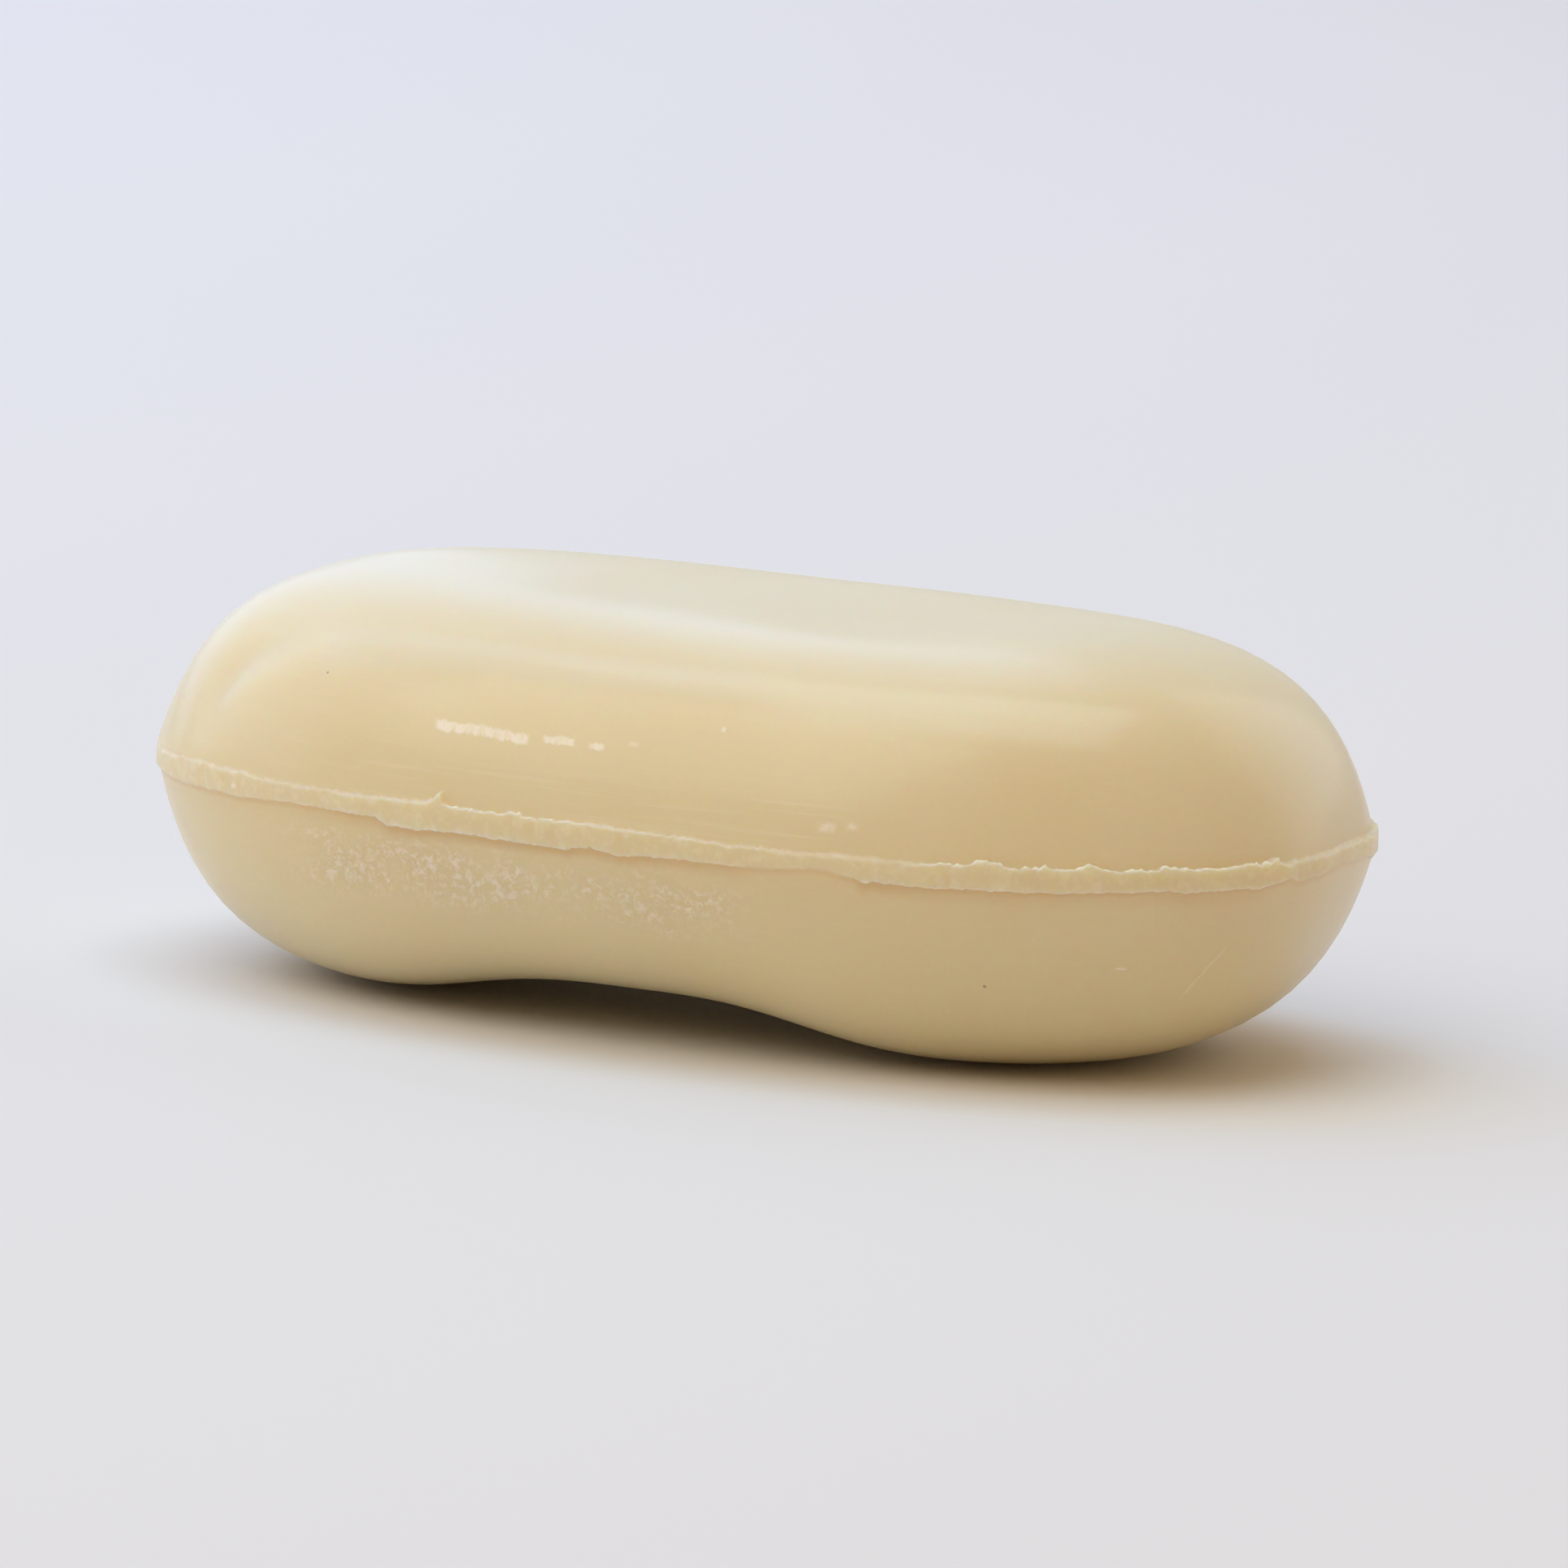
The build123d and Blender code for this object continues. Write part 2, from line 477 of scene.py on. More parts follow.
@dataclass(frozen=True)
class Relief:
    """What the smooth body has on top: hand-worn unevenness, a thumb dent and fine creases."""

    unevenness: float = 0.03
    dent_middle: tuple[float, float] = (-29.0, 2.2)
    dent_radius: float = 8.4
    dent_depth: float = 0.55
    dent_half_width: float = 1.5
    creases: tuple = (Crease(63.2, 1.2, 5.2, -0.10, 0.07, 0.22), Crease(62.4, -4.2, -0.6, 0.28, 0.06, 0.2),
                      Crease(64.0, -3.4, -1.4, 0.05, 0.05, 0.2), Crease(61.2, 1.2, 2.6, 0.0, 0.04, 0.25))

    def lift(self, points: np.ndarray, along: np.ndarray) -> np.ndarray:
        """How far the skin stands from the smooth body.

        It is long waves of unevenness, less a bell-shaped groove along part of a circle in the
        XZ plane on the front side, which is the thumb dent, less a bell-shaped groove for each
        crease, and plus faint upright facets below the band.

        Args:
            points: the smooth body's points, rows by columns by x, y and z.
            along: place of each column along the rim.

        Returns:
            The distance to move each point outwards.
        """
        x, y, z = points[..., 0], points[..., 1], points[..., 2]
        lift = self.unevenness * waves(points, 42.0, 15.0, 21)
        spoke = np.hypot(x - self.dent_middle[0], z - self.dent_middle[1])
        turn = np.degrees(np.arctan2(z - self.dent_middle[1], x - self.dent_middle[0]))
        groove = hump(spoke, self.dent_radius, self.dent_half_width) * window(turn, 100.0, 168.0, 22.0)
        lift = lift - self.dent_depth * groove * smooth_step(-y, 4.0, 12.0)
        lift = lift + 0.3 * self.dent_depth * hump(spoke, 3.0, 4.0) * smooth_step(-y, 8.0, 16.0)
        for crease in self.creases:
            line = hump(along - crease.lean * (z - crease.low), crease.place, crease.half_width)
            lift = lift - crease.depth * line * window(z, crease.low, crease.high, 0.5)
        facets = ripple(along, NEAR_GIRTH, 9.0, 2.5, 22) * window(z, -11.0, -2.0, 2.0)
        return lift + 0.012 * facets * window(along, 8.0, 44.0, 6.0)


@dataclass
class SoapBar:
    """The bar's single skin: rings from the top of the crown, over the flash, to the belly."""

    body: Body
    flash: Flash = field(default_factory=Flash)
    relief: Relief = field(default_factory=Relief)
    columns: int = 1230
    crowding: float = 0.5
    crown_rings: int = 28
    flash_rings: int = 28
    belly_rings: int = 24

    def cap(self, half: Half, edge: np.ndarray, rings: int, rim: np.ndarray,
            along: np.ndarray) -> np.ndarray:
        """One half from its middle to the band, with the rings closing up towards the band.

        Ring k of m lies at the share 1 - (1 - k/m)^2 of the way out to the band.

        Args:
            half: which half.
            edge: gauge radius at which each column meets the band.
            rings: number of rings outside the middle.
            rim: rim point of each column.
            along: place of each column along the rim.

        Returns:
            The points, rings by columns by x, y and z; the first ring is all one point.
        """
        share = 1.0 - (1.0 - np.arange(rings + 1) / rings) ** 2
        points = self.body.surface(half, share[:, None] * edge[None, :], rim)
        outwards = np.gradient(points, axis=0)
        onwards = np.roll(points, -1, axis=1) - np.roll(points, 1, axis=1)
        normal = np.cross(outwards, onwards) * half.value
        normal[0] = (0.0, 0.0, half.value)
        normal /= np.linalg.norm(normal, axis=2, keepdims=True)
        fade = 1.0 - share[:, None] ** 40
        return points + normal * (self.relief.lift(points, along) * fade)[..., None]

    def rows(self) -> tuple[np.ndarray, dict[str, np.ndarray]]:
        """Work out the whole skin as rings of points, with its masks of wear, painted highlight and
        painted shade.

        Returns:
            The points from the crown's middle to the belly's, and for each mask a value a point: the band
            itself, its pale flaky edges with a painted highlight along the top of the upper one, and
            painted shade below the band.
        """
        rim, outward, along, girth = self.body.plan.round_rim(self.columns, self.crowding)
        edges = self.flash.edges(along, girth)
        above = self.body.radius_at(Half.CROWN, edges["wall"], rim)
        below = self.body.radius_at(Half.BELLY, edges["foot"], rim)
        crown = self.cap(Half.CROWN, above, self.crown_rings, rim, along)
        belly = self.cap(Half.BELLY, below, self.belly_rings, rim, along)
        wall = (np.sum((crown[-1][:, :2] - rim) * outward, axis=1), crown[-1][:, 2])
        foot = (np.sum((belly[-1][:, :2] - rim) * outward, axis=1), belly[-1][:, 2])
        offset, height = self.flash.profile(edges, wall, foot, self.flash_rings)
        band = np.concatenate([rim + offset[..., None] * outward, height[..., None]], axis=-1)
        blend = np.linspace(0.0, 1.0, self.flash_rings)[:, None, None]
        slip = crown[-1] - band[0], belly[-1] - band[-1]
        band = band + slip[0] * (1.0 - blend) ** 8 + slip[1] * blend ** 8
        face = window(blend[:, 0, 0], 0.3, 0.82, 0.08)
        roughness = waves(band, 2.4, 0.7, 31) * 0.012 + waves(band, 7.0, 2.5, 32) * 0.02
        band[..., :2] += outward * (roughness * face[:, None])[..., None]
        points = np.concatenate([crown[:-1], band, belly[::-1][1:]])
        return points, self.masks(points, edges, along)

    def masks(self, points: np.ndarray, edges: dict[str, np.ndarray],
              along: np.ndarray) -> dict[str, np.ndarray]:
        """Work out where the skin is flash, pale flaky edge with a painted highlight along the top, or
        painted shade below the band, from 0 to 1.

        Args:
            points: the skin's points, rings by columns by x, y and z, from the parting plane.
            edges: the band's edges, from Flash.edges().
            along: place of each column along the rim.

        Returns:
            For each mask its values, rings by columns.
        """
        z = points[..., 2]
        upper, lower = edges["upper"], -edges["lower"]
        row = np.arange(len(points))[:, None]
        last = self.crown_rings + self.flash_rings
        on_band = window(row.astype(float), self.crown_rings + 1.0, last - 4.0, 1.5)
        fray = np.clip(0.55 + 0.55 * ripple(along, NEAR_GIRTH, 5.0, 0.6, 41), 0.0, 1.0)
        # Pale along the top of the upper edge: partly whitish flakes, partly a painted highlight where the
        # burr catches light from above.
        top_edge = smooth_step(z, upper - 0.12, upper + 0.05) * edges["frill"] * (0.3 + 0.7 * fray)
        flaky = window(along, -20.5, -9.0, 0.6) + window(along, 17.6, 19.4, 0.3) + 0.12
        low_edge = (1.0 - smooth_step(z, lower - 0.02, lower + 0.24)) * np.clip(flaky, 0.0, 1.0) * fray
        flakes_and_glint = np.clip(top_edge + low_edge, 0.0, 1.0) * on_band
        # Painted shade: a darker strip just below the band's lower edge, where the band overhangs.
        shade_below_flash = window(z, lower - 0.42, lower - 0.02, 0.1) * (0.35 + 0.65 * edges["undercut"])
        shade_below_flash = shade_below_flash * (row > last - 7)
        found = {"flash": on_band, "flakes_and_glint": flakes_and_glint, "shade_below_flash": shade_below_flash}
        return {name: np.broadcast_to(mask, z.shape) for name, mask in found.items()}

    def build(self, material: bpy.types.Material) -> bpy.types.Object:
        """Make the bar's object from its rings, with a fan of triangles at each middle.

        Args:
            material: the soap.

        Returns:
            The object, at the origin, with its place in its mesh.
        """
        points, masks = self.rows()
        points = points + (0.0, 0.0, self.body.seam_height())
        points[..., 2] = np.maximum(points[..., 2], 0.0)
        rings, columns = points.shape[:2]
        middle = points[1:-1].reshape(-1, 3)
        vertices = np.concatenate([points[0, :1], middle, points[-1, :1]]) * MM
        index = 1 + np.arange((rings - 2) * columns).reshape(rings - 2, columns)
        after = np.roll(index, -1, axis=1)
        quads = np.stack([index[:-1], index[1:], after[1:], after[:-1]], axis=-1).reshape(-1, 4)
        top = np.stack([np.zeros(columns, int), index[0], after[0]], axis=-1)
        last = np.full(columns, len(vertices) - 1)
        bottom = np.stack([last, after[-1], index[-1]], axis=-1)
        mesh = bpy.data.meshes.new("soap_bar_skin")
        mesh.from_pydata(vertices.tolist(), [], quads.tolist() + top.tolist() + bottom.tolist())
        mesh.shade_smooth()
        for name, mask in masks.items():
            values = np.concatenate([mask[0, :1], mask[1:-1].reshape(-1), mask[-1, :1]])
            layer = mesh.attributes.new(name, "FLOAT", "POINT")
            layer.data.foreach_set("value", values.astype(np.float32))
        mesh.materials.append(material)
        bar = bpy.data.objects.new("soap_bar_skin", mesh)
        bpy.context.scene.collection.objects.link(bar)
        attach(bar, "root")
        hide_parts("soap_bar")
        return bar


# ---------------------------------------------------------------------------------------------
# Finishes
# ---------------------------------------------------------------------------------------------


class Value:
    """A number that varies over the surface; sums and products of it add Math nodes."""

    def __init__(self, nodes: "Nodes", socket: bpy.types.NodeSocket) -> None:
        """Wrap one output socket of a node in that tree."""
        self.nodes = nodes
        self.socket = socket

    def __add__(self, other: "Value | float") -> "Value":
        """Return self + other."""
        return self.nodes.maths("ADD", self, other)

    def __radd__(self, other: float) -> "Value":
        """Return other + self."""
        return self.nodes.maths("ADD", other, self)

    def __sub__(self, other: "Value | float") -> "Value":
        """Return self - other."""
        return self.nodes.maths("SUBTRACT", self, other)

    def __rsub__(self, other: float) -> "Value":
        """Return other - self."""
        return self.nodes.maths("SUBTRACT", other, self)

    def __mul__(self, other: "Value | float") -> "Value":
        """Return self times other."""
        return self.nodes.maths("MULTIPLY", self, other)

    def most(self, other: "Value | float") -> "Value":
        """Return the larger of self and other."""
        return self.nodes.maths("MAXIMUM", self, other)

    def rise(self, low: float, high: float) -> "Value":
        """Return 0 below low and 1 above high, with a smooth rise between."""
        inputs = {"Value": self, "From Min": low, "From Max": high}
        node = self.nodes.add("ShaderNodeMapRange", {"interpolation_type": "SMOOTHSTEP"}, inputs)
        return Value(self.nodes, node.outputs["Result"])

    def between(self, low: float, high: float, soft: float) -> "Value":
        """Return 1 between low and high and 0 outside, with both edges soft by that much."""
        return self.rise(low - soft, low + soft) * (1.0 - self.rise(high - soft, high + soft))


class Nodes:
    """The nodes of one material or world."""

    def __init__(self, owner: bpy.types.Material | bpy.types.World) -> None:
        """Start that owner's tree empty."""
        owner.use_nodes = True
        self.tree = owner.node_tree
        self.tree.nodes.clear()

    def add(self, kind: str, settings: dict[str, object],
            inputs: dict[str | int, object]) -> bpy.types.Node:
        """Add one node: its settings first, then the values or links of its sockets.

        Args:
            kind: the node's type.
            settings: its properties, by name.
            inputs: its sockets, by name or number, each a number, a colour, a socket or a Value.

        Returns:
            The node.
        """
        node = self.tree.nodes.new(kind)
        for name, setting in settings.items():
            setattr(node, name, setting)
        for name, given in inputs.items():
            given = given.socket if isinstance(given, Value) else given
            if isinstance(given, bpy.types.NodeSocket):
                self.tree.links.new(given, node.inputs[name])
            else:
                node.inputs[name].default_value = given
        return node

    def maths(self, operation: str, *numbers: "Value | float") -> Value:
        """Return one Math node's result."""
        node = self.add("ShaderNodeMath", {"operation": operation}, dict(enumerate(numbers)))
        return Value(self, node.outputs[0])

    def mix(self, share: "Value | float", first: object, second: object) -> bpy.types.NodeSocket:
        """Return a colour that goes from first to second as share goes from 0 to 1."""
        node = self.add("ShaderNodeMix", {"data_type": "RGBA"}, {0: share, 6: first, 7: second})
        return node.outputs[2]

    def place(self) -> bpy.types.NodeSocket:
        """Return the object's own coordinates, in millimetres."""
        source = self.add("ShaderNodeTexCoord", {}, {})
        inputs = {0: source.outputs["Object"], "Scale": 1.0 / MM}
        return self.add("ShaderNodeVectorMath", {"operation": "SCALE"}, inputs).outputs[0]

    def stretched(self, place: bpy.types.NodeSocket, scale: tuple[float, float, float],
                  turn: tuple[float, float, float] = (0.0, 0.0, 0.0)) -> bpy.types.NodeSocket:
        """Return the place after a turn, in radians, and a stretch along each axis."""
        inputs = {"Vector": place, "Scale": scale, "Rotation": turn}
        return self.add("ShaderNodeMapping", {"vector_type": "POINT"}, inputs).outputs[0]

    def noise(self, place: bpy.types.NodeSocket, scale: float, detail: float = 2.0,
              roughness: float = 0.5, distortion: float = 0.0) -> Value:
        """Return cloudy noise from 0 to 1, with this many lumps a millimetre."""
        inputs = {"Vector": place, "Scale": scale, "Detail": detail, "Roughness": roughness}
        inputs["Distortion"] = distortion
        return Value(self, self.add("ShaderNodeTexNoise", {}, inputs).outputs[0])

    def mask(self, name: str) -> Value:
        """Return one of the skin's own masks."""
        node = self.add("ShaderNodeAttribute", {"attribute_name": name}, {})
        return Value(self, node.outputs["Fac"])


Colour = tuple[float, float, float, float]


@dataclass(frozen=True)
class SoapFinish:
    """Milled ivory soap: a satin skin over a slightly clear body, with scuffs and wipes, pale dashes that
    are partly painted highlights, and painted shade below the flash.
    """

    ivory: Colour = (0.77, 0.67, 0.40, 1.0)
    warm: Colour = (0.76, 0.65, 0.375, 1.0)
    pressed: Colour = (0.745, 0.64, 0.40, 1.0)
    bleached: Colour = (0.86, 0.77, 0.54, 1.0)
    # painted shade for the strip under the band's overhanging lower edge
    under_flash_shade: Colour = (0.66, 0.44, 0.16, 1.0)
    # pale colour of wear and flakes, also used as painted highlights on the dashes and along the flash's
    # upper edge
    pale_wear_and_glint: Colour = (0.92, 0.86, 0.74, 1.0)
    grime: Colour = (0.20, 0.15, 0.08, 1.0)
    satin: float = 0.42             # roughness of the skin
    dull: float = 0.6               # roughness of a scuff
    polish: float = 0.5             # weight of the sheen over the skin
    polish_roughness: float = 0.16
    index: float = 1.5              # refractive index of soap and coat
    depth: float = 0.007            # metres that red light gets under the skin
    spread: tuple[float, float, float] = (1.0, 0.5, 0.18)   # share of that for red, green and blue

    def build(self) -> bpy.types.Material:
        """Make the soap.

        Returns:
            The material.
        """
        material = bpy.data.materials.new("ivory_soap")
        nodes = Nodes(material)
        place = nodes.place()
        split = nodes.add("ShaderNodeSeparateXYZ", {}, {0: place})
        x, y, z = (Value(nodes, split.outputs[axis]) for axis in range(3))
        front = 1.0 - y.rise(-6.0, -2.0)

        # The soap itself, in two cloudy tones.
        clouds = nodes.noise(place, 0.06, 2.0)
        grain = nodes.noise(place, 2.2, 4.0, 0.6)
        colour = nodes.mix(clouds.rise(0.35, 0.68), self.ivory, self.warm)

        # Faint wiped streaks along the bar, strongest just above the flash.
        wipes = nodes.noise(nodes.stretched(place, (0.05, 0.35, 2.6), (0.0, 0.03, 0.0)), 1.0, 4.0, 0.62)
        wiped = x.between(-27.0, 18.0, 5.0) * z.between(17.3, 21.0, 1.2) * front
        wipe = wipes.rise(0.50, 0.68) * (0.12 + wiped * 0.6)
        colour = nodes.mix(wipe * 0.28, colour, self.pale_wear_and_glint)

        # The dry scuffed patch below the flash, in flecks.
        flecks = nodes.noise(place, 1.8, 6.0, 0.72, 0.4)
        patches = nodes.noise(nodes.stretched(place, (0.2, 0.2, 0.42)), 1.0, 3.0, 0.6)
        scuffed = x.between(-27.0, 8.0, 2.5) * z.between(9.8, 14.2, 1.2) * front
        scuff = flecks.rise(0.47, 0.60) * (0.25 + patches.rise(0.42, 0.56) * 0.75) * scuffed
        scuff = scuff.most(self.small_scuffs(x, z, flecks) * front)
        colour = nodes.mix(scuff * 0.72, colour, self.pale_wear_and_glint)

        # Pale glossy dashes, partly rubbed soap and partly painted highlights; scratches and specks.
        dash_rub_and_glint = self.rubbed_dashes_and_glints(nodes, place, x, z) * front
        colour = nodes.mix(dash_rub_and_glint * 0.8, colour, self.pale_wear_and_glint)
        scratch = self.scratches(x, z) * front
        colour = nodes.mix(scratch * 0.6, colour, self.bleached)
        colour = nodes.mix(self.specks(nodes, place, x, z, front), colour, self.grime)

        # The flash: pressed and mottled, with pale flaky edges, a painted highlight along its upper edge
        # and painted shade below it.
        mottle = nodes.noise(place, 1.3, 5.0, 0.65)
        colour = nodes.mix(nodes.mask("flash") * 0.85, colour, self.pressed)
        colour = nodes.mix(nodes.mask("flash") * mottle.rise(0.46, 0.66) * 0.22, colour, self.pale_wear_and_glint)
        # Painted shade under the band's lower edge.
        colour = nodes.mix(nodes.mask("shade_below_flash") * 0.5, colour, self.under_flash_shade)
        # Pale flaky edges, with a painted highlight along the top of the upper edge.
        flakes_and_glint = nodes.mask("flakes_and_glint") * (0.45 + mottle.rise(0.38, 0.6) * 0.55)
        colour = nodes.mix(flakes_and_glint * 0.55, colour, self.pale_wear_and_glint)
        colour = nodes.mix(self.pale_dots(x, z) * front, colour, self.pale_wear_and_glint)

        # Roughness and the finest relief, which is in millimetres.
        rough = self.satin + (clouds - 0.5) * 0.08 + (grain - 0.5) * 0.05 + wipe * 0.08
        rough = rough + scuff * (self.dull - self.satin) + nodes.mask("flash") * 0.12
        rough = rough + flakes_and_glint * 0.15 - dash_rub_and_glint * 0.12
        height = (grain - 0.5) * 0.004 + wipe * 0.006 + scuff * 0.03 + dash_rub_and_glint * 0.02 - scratch * 0.03
        height = height + (mottle - 0.5) * (nodes.mask("flash") * 0.02 + flakes_and_glint * 0.05)
        ripples = nodes.noise(nodes.stretched(place, (0.5, 0.5, 0.12)), 1.0, 2.0)
        height = height + ripples * 0.012
        bump = nodes.add("ShaderNodeBump", {}, {"Height": height, "Strength": 1.0, "Distance": MM})

        inputs = {
            "Base Color": colour,
            "Roughness": rough,
            "Normal": bump.outputs[0],
            "IOR": self.index,
            "Coat Weight": self.polish,
            "Coat Roughness": self.polish_roughness,
            "Coat IOR": self.index,
            "Subsurface Weight": 1.0,
            "Subsurface Radius": self.spread,
            "Subsurface Scale": self.depth,
        }
        shader = nodes.add("ShaderNodeBsdfPrincipled", {}, inputs)
        nodes.add("ShaderNodeOutputMaterial", {}, {"Surface": shader.outputs[0]})
        return material

    @staticmethod
    def rubbed_dashes_and_glints(nodes: Nodes, place: bpy.types.NodeSocket, x: Value, z: Value) -> Value:
        """The three pale glossy dashes above the flash, combed upright: partly rubbed soap, partly painted
        highlights.
        """
        comb = nodes.noise(nodes.stretched(place, (1.7, 0.3, 0.5), (0.0, 0.35, 0.0)), 1.0, 3.0, 0.65)
        frayed = nodes.noise(nodes.stretched(place, (0.9, 0.3, 0.6)), 1.0, 2.0)
        level = z + x * 0.012 + (comb - 0.5) * 0.9 + (frayed - 0.5) * 0.5
        end = x + (frayed - 0.5) * 1.6
        dashes = end.between(-16.4, -8.9, 0.3) * (level + x * 0.02).between(22.05, 22.75, 0.12)
        dashes = dashes + end.between(-7.5, -5.2, 0.2) * level.between(22.5, 23.05, 0.1)
        dashes = dashes + end.between(-3.8, -3.0, 0.15) * level.between(22.55, 22.95, 0.08)
        return dashes * (0.55 + comb.rise(0.36, 0.56) * 0.45)

    @staticmethod
    def small_scuffs(x: Value, z: Value, flecks: Value) -> Value:
        """The two small pale scuffs just above the flash, towards the +X end."""
        first = x.between(14.3, 15.5, 0.3) * z.between(18.7, 19.3, 0.25)
        second = x.between(16.4, 17.1, 0.3) * z.between(19.0, 19.5, 0.25)
        return (first + second) * flecks.rise(0.3, 0.6)

    @staticmethod
    def pale_dots(x: Value, z: Value) -> Value:
        """The pale crumb on the flash, two dots above it and the chip below it."""
        crumb = x.between(-33.5, -33.1, 0.1) * z.between(15.8, 16.1, 0.1)
        smear = x.between(-1.0, -0.3, 0.2) * z.between(23.1, 23.4, 0.12)
        dot = x.between(5.75, 6.0, 0.1) * z.between(24.8, 25.1, 0.1)
        chip = x.between(34.9, 35.5, 0.15) * z.between(9.78, 9.95, 0.1)
        return (crumb + dot + chip) * 0.8 + smear * 0.4

    @staticmethod
    def scratches(x: Value, z: Value) -> Value:
        """The short slanting scratch on the lower +X side and its two fainter neighbours."""
        slant = (x - 39.9 - (z - 9.5) * 0.76).between(-0.07, 0.07, 0.07) * z.between(7.6, 11.2, 0.6)
        short = (x - 29.8 - (z - 12.0) * 0.5).between(-0.05, 0.05, 0.06) * z.between(11.6, 12.4, 0.3)
        upright = (x - 37.4).between(-0.04, 0.04, 0.05) * z.between(13.2, 15.0, 0.6)
        return slant + short * 0.7 + upright * 0.5

    @staticmethod
    def specks(nodes: Nodes, place: bpy.types.NodeSocket, x: Value, z: Value, front: Value) -> Value:
        """One dark speck low in front, and a few a tenth of a millimetre across in scattered cells."""
        cells = nodes.add("ShaderNodeTexVoronoi", {}, {"Vector": place, "Scale": 0.11, "Randomness": 1.0})
        near = 1.0 - Value(nodes, cells.outputs["Distance"]).rise(0.008, 0.014)
        return (near + x.between(26.1, 26.3, 0.06) * z.between(7.96, 8.16, 0.06) * front) * 0.7


@dataclass(frozen=True)
class TableFinish:
    """Matt pale paper."""

    paper: Colour = (0.795, 0.80, 0.822, 1.0)
    roughness: float = 0.9
    shine: float = 0.2

    def build(self) -> bpy.types.Material:
        """Make the paper.

        Returns:
            The material.
        """
        material = bpy.data.materials.new("pale_paper")
        nodes = Nodes(material)
        fibres = nodes.noise(nodes.place(), 0.8, 3.0, 0.6)
        bump = nodes.add("ShaderNodeBump", {}, {"Height": fibres * 0.01, "Strength": 0.4, "Distance": MM})
        inputs = {"Base Color": self.paper, "Roughness": self.roughness, "Normal": bump.outputs[0]}
        inputs["Specular IOR Level"] = self.shine
        shader = nodes.add("ShaderNodeBsdfPrincipled", {}, inputs)
        nodes.add("ShaderNodeOutputMaterial", {}, {"Surface": shader.outputs[0]})
        return material


# ---------------------------------------------------------------------------------------------
# Studio
# ---------------------------------------------------------------------------------------------


def facing(azimuth: float, elevation: float) -> tuple[np.ndarray, np.ndarray, np.ndarray]:
    """Directions of something that stands there and faces the bar.

    Args:
        azimuth: degrees round from the front, towards +X.
        elevation: degrees up from the table.

    Returns:
        Its level right, its up, and the direction from the bar to it.
    """
    turn, tilt = math.radians(azimuth), math.radians(elevation)
    level = math.cos(tilt)
    back = np.array([math.sin(turn) * level, -math.cos(turn) * level, math.sin(tilt)])
    right = np.array([math.cos(turn), math.sin(turn), 0.0])
    return right, np.cross(back, right), back


def stand(name: str, data: bpy.types.ID, axes: tuple, spot: np.ndarray) -> bpy.types.Object:
    """Put a camera or a lamp in the scene.

    Args:
        name: the object's name.
        data: the camera or the lamp.
        axes: its right, its up and the direction it looks away from.
        spot: where it stands, in metres.

    Returns:
        The object.
    """
    placed = bpy.data.objects.new(name, data)
    turned = Matrix(np.stack(axes, axis=1).tolist()).to_4x4()
    placed.matrix_world = Matrix.Translation(spot.tolist()) @ turned
    bpy.context.scene.collection.objects.link(placed)
    return placed


@dataclass(frozen=True)
class Viewpoint:
    """Where the camera stands, in degrees and millimetres, how it is rolled and where it aims."""

    azimuth: float = 20.1
    elevation: float = 9.3
    distance: float = 1231.0
    roll: float = 3.5
    aim_right: float = 1.5
    aim_up: float = 0.68
    sensor: float = 36.0
    lens: float = 381.6
    clip: tuple[float, float] = (0.05, 50.0)    # metres

    def build(self, middle: np.ndarray) -> bpy.types.Object:
        """Place the camera so that it looks at the bar.

        Args:
            middle: the middle of the bar on its parting plane, in millimetres.

        Returns:
            The camera.
        """
        right, up, back = facing(self.azimuth, self.elevation)
        spot = middle + back * self.distance
        aim = middle + right * self.aim_right + up * self.aim_up
        back = (spot - aim) / np.linalg.norm(spot - aim)
        up = np.cross(back, right)
        right = np.cross(up, back)
        roll = math.radians(self.roll)
        rolled_right = right * math.cos(roll) + up * math.sin(roll)
        rolled_up = up * math.cos(roll) - right * math.sin(roll)
        data = bpy.data.cameras.new("camera")
        data.sensor_width = self.sensor
        data.lens = self.lens
        data.clip_start, data.clip_end = self.clip
        camera = stand("camera", data, (rolled_right, rolled_up, back), spot * MM)
        bpy.context.scene.camera = camera
        return camera


@dataclass(frozen=True)
class Softbox:
    """A soft lamp: its direction from the bar in degrees, distance and size in metres, and light."""

    name: str
    azimuth: float
    elevation: float
    distance: float
    width: float
    height: float
    brightness: float
    colour: tuple[float, float, float]

    def build(self) -> bpy.types.Object:
        """Place the lamp facing the bar.

        Its power is pi times its area times its brightness, so that a lamp of brightness 1 is as
        bright as white paper in plain light.

        Returns:
            The lamp.
        """
        right, up, back = facing(self.azimuth, self.elevation)
        data = bpy.data.lights.new(self.name, "AREA")
        data.shape = "RECTANGLE"
        data.size = self.width
        data.size_y = self.height
        data.color = self.colour
        data.energy = math.pi * self.width * self.height * self.brightness
        lamp = stand(self.name, data, (right, up, back), back * self.distance)
        lamp.visible_camera = False
        return lamp


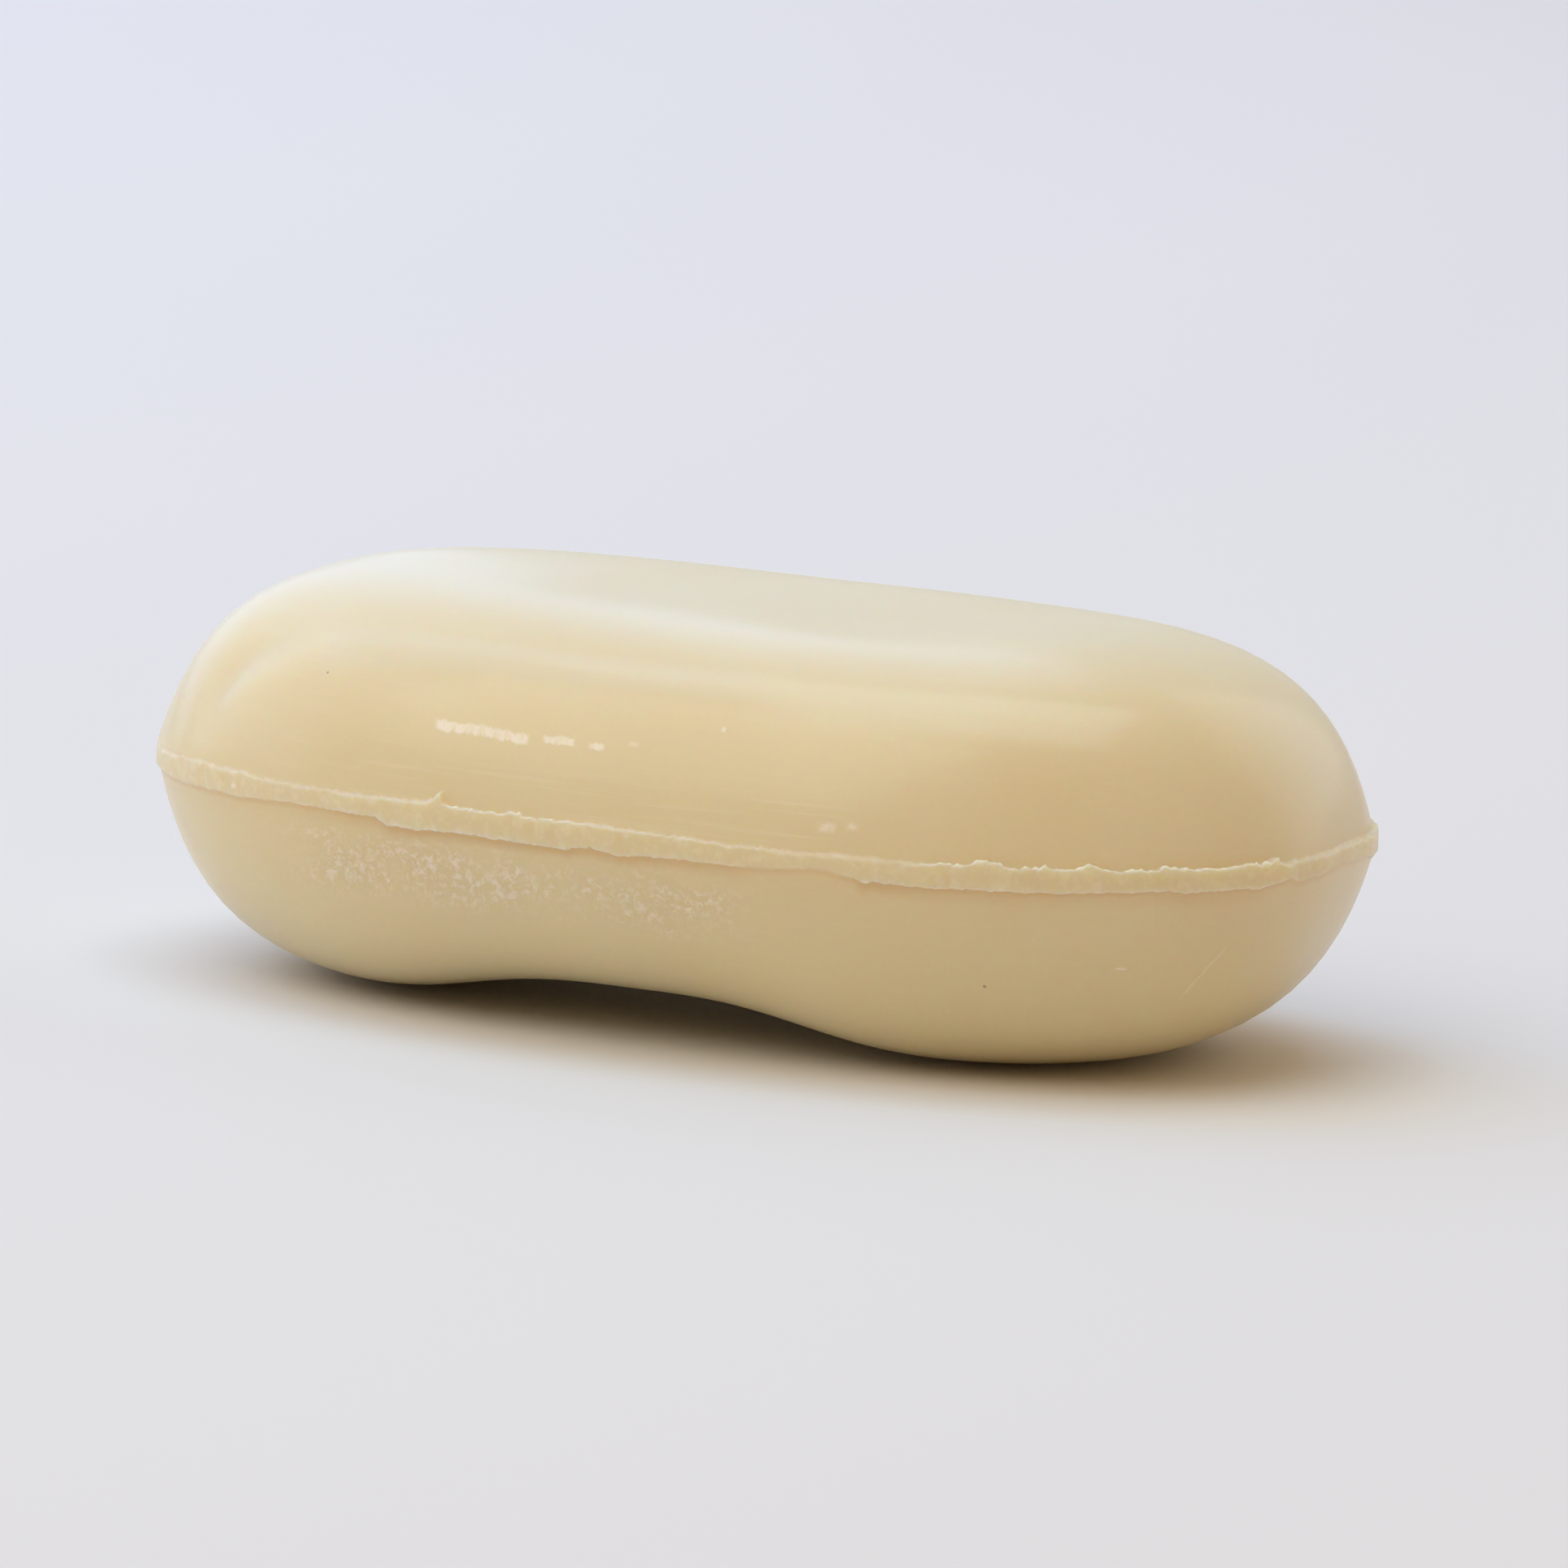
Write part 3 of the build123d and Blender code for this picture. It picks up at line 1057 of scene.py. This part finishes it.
@dataclass(frozen=True)
class Studio:
    """A pale table, even light from all round, and soft lamps."""

    table_half: float = 6.0     # metres
    surround: Colour = (1.0, 0.58, 0.22, 1.0)
    surround_strength: float = 0.43
    backdrop: Colour = (0.66, 0.69, 0.71, 1.0)
    softboxes: tuple = (
        Softbox("top", 20.0, 89.0, 1.6, 1.15, 1.15, brightness=2.2, colour=(0.62, 0.86, 1.0)),
        Softbox("sky", 262.0, 56.0, 2.0, 1.1, 1.1, brightness=1.65, colour=(0.06, 0.40, 0.88)),
        Softbox("card", 225.5, 35.0, 0.95, 0.9, 1.2, brightness=0.85, colour=(0.42, 0.62, 1.0)),
        Softbox("left", 280.0, 28.0, 1.6, 1.5, 1.3, brightness=0.92, colour=(0.68, 0.81, 1.0)),
        Softbox("right", 150.0, 28.0, 1.8, 1.6, 1.4, brightness=0.55, colour=(0.8, 0.94, 0.97)),
        Softbox("front", 335.0, 45.0, 1.8, 1.4, 1.4, brightness=1.50, colour=(0.97, 1.0, 0.96)),
    )

    def table(self) -> bpy.types.Object:
        """Lay the table under the bar.

        Returns:
            The table, which isn't part of the object.
        """
        half = self.table_half
        mesh = bpy.data.meshes.new("table")
        corners = [(-half, -half, 0), (half, -half, 0), (half, half, 0), (-half, half, 0)]
        mesh.from_pydata(corners, [], [(0, 1, 2, 3)])
        mesh.materials.append(TableFinish().build())
        table = bpy.data.objects.new("table", mesh)
        bpy.context.scene.collection.objects.link(table)
        return table

    def world(self) -> bpy.types.World:
        """Light the scene evenly, with a pale backdrop in the camera's view and in reflections.

        Returns:
            The world.
        """
        world = bpy.data.worlds.new("surround")
        nodes = Nodes(world)
        path = nodes.add("ShaderNodeLightPath", {}, {}).outputs
        seen = Value(nodes, path["Is Camera Ray"]).most(Value(nodes, path["Is Glossy Ray"]))
        light = {"Color": self.surround, "Strength": self.surround_strength}
        light = nodes.add("ShaderNodeBackground", {}, light).outputs[0]
        backdrop = {"Color": self.backdrop, "Strength": 1.0}
        backdrop = nodes.add("ShaderNodeBackground", {}, backdrop).outputs[0]
        mixed = nodes.add("ShaderNodeMixShader", {}, {0: seen, 1: light, 2: backdrop})
        nodes.add("ShaderNodeOutputWorld", {}, {"Surface": mixed.outputs[0]})
        bpy.context.scene.world = world
        return world

    def build(self) -> None:
        """Set up the table, the even light and the lamps."""
        self.table()
        self.world()
        for softbox in self.softboxes:
            softbox.build()
        bpy.context.scene.view_settings.view_transform = "Standard"


def main() -> None:
    """Build the bar, its soap, the studio and the camera, in that order."""
    logging.basicConfig(level=logging.INFO, format="%(message)s")
    low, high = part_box("soap_bar")
    body = Body(Plan(*((high[axis] - low[axis]) / 2 / MM - BAND_PROUD for axis in (0, 1))))
    bar = SoapBar(body).build(SoapFinish().build())
    LOG.info("%s: %d faces", bar.name, len(bar.data.polygons))
    studio = Studio()
    studio.build()
    LOG.info("studio: table, surround and %d lamps", len(studio.softboxes))
    camera = Viewpoint().build(np.array([0.0, 0.0, body.seam_height()]))
    LOG.info("%s: lens %.1f mm", camera.name, camera.data.lens)


if __name__ == "__main__":
    main()
